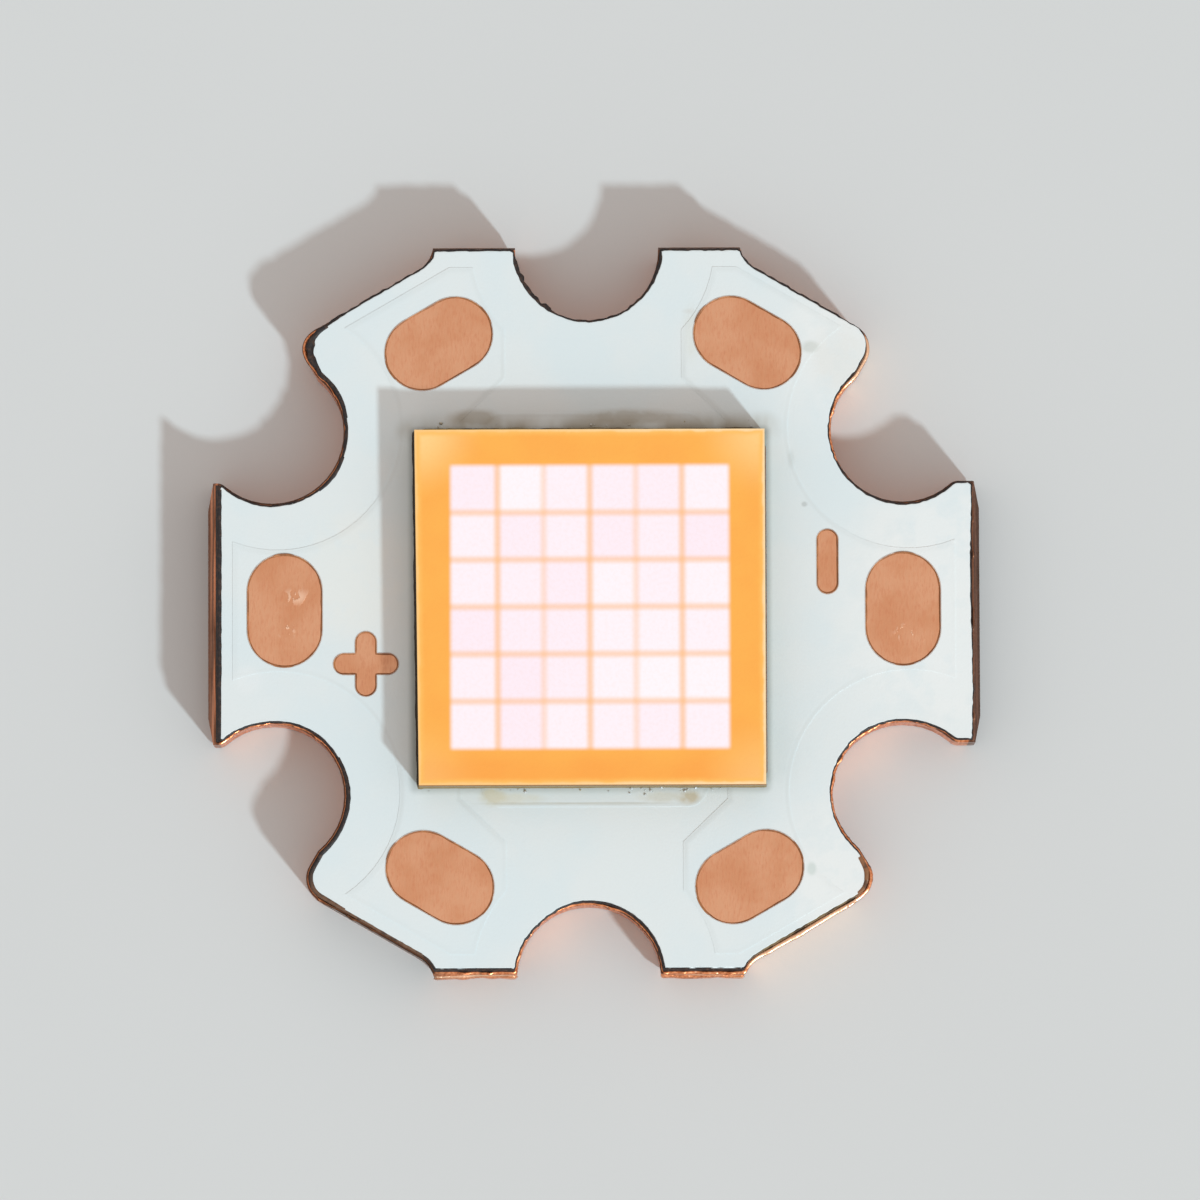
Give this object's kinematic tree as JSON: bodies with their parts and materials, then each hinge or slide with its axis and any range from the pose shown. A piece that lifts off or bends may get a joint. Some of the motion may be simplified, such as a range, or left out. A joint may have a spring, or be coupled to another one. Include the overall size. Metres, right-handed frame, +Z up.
{
  "type": "high-power led chip on star board",
  "caption": "Square phosphor-topped high-power LED package soldered on a star-shaped copper-core board with screw notches, wire pads and polarity marks; shown lit.",
  "frame": {"origin": "middle of the board's underside", "axes": "+X to the minus side, across the two scored side edges; +Y to the back; +Z up, out of the lit face"},
  "size_m": [0.02, 0.019, 0.0026],
  "materials": {
    "copper": "bare routed copper",
    "foil": "bare copper foil, satin",
    "dielectric": "dark filled resin",
    "white_coat": "white solder mask, low gloss",
    "solder": "reflowed solder",
    "plating": "gold-finished plated copper",
    "ceramic": "sawn nitride ceramic",
    "phosphor": "phosphor in silicone, lit",
    "die": "sapphire die, lit"
  },
  "bodies": {
    "root": {"copper_core": "copper", "dielectric_layer": "dielectric", "anode_foil": "foil", "cathode_foil": "foil", "solder_mask": "white_coat", "anode_solder": "solder", "thermal_solder": "solder", "cathode_solder": "solder", "anode_plating": "plating", "cathode_plating": "plating", "thermal_pad": "plating", "ceramic_substrate": "ceramic", "phosphor_layer": "phosphor", "link_strip_1": "plating", "link_strip_2": "plating", "link_strip_3": "plating", "link_strip_4": "plating", "link_strip_5": "plating", "die_r1_c1": "die", "die_r1_c2": "die", "die_r1_c3": "die", "die_r1_c4": "die", "die_r1_c5": "die", "die_r1_c6": "die", "die_r2_c1": "die", "die_r2_c2": "die", "die_r2_c3": "die", "die_r2_c4": "die", "die_r2_c5": "die", "die_r2_c6": "die", "die_r3_c1": "die", "die_r3_c2": "die", "die_r3_c3": "die", "die_r3_c4": "die", "die_r3_c5": "die", "die_r3_c6": "die", "die_r4_c1": "die", "die_r4_c2": "die", "die_r4_c3": "die", "die_r4_c4": "die", "die_r4_c5": "die", "die_r4_c6": "die", "die_r5_c1": "die", "die_r5_c2": "die", "die_r5_c3": "die", "die_r5_c4": "die", "die_r5_c5": "die", "die_r5_c6": "die", "die_r6_c1": "die", "die_r6_c2": "die", "die_r6_c3": "die", "die_r6_c4": "die", "die_r6_c5": "die", "die_r6_c6": "die"}
  },
  "joints": []
}
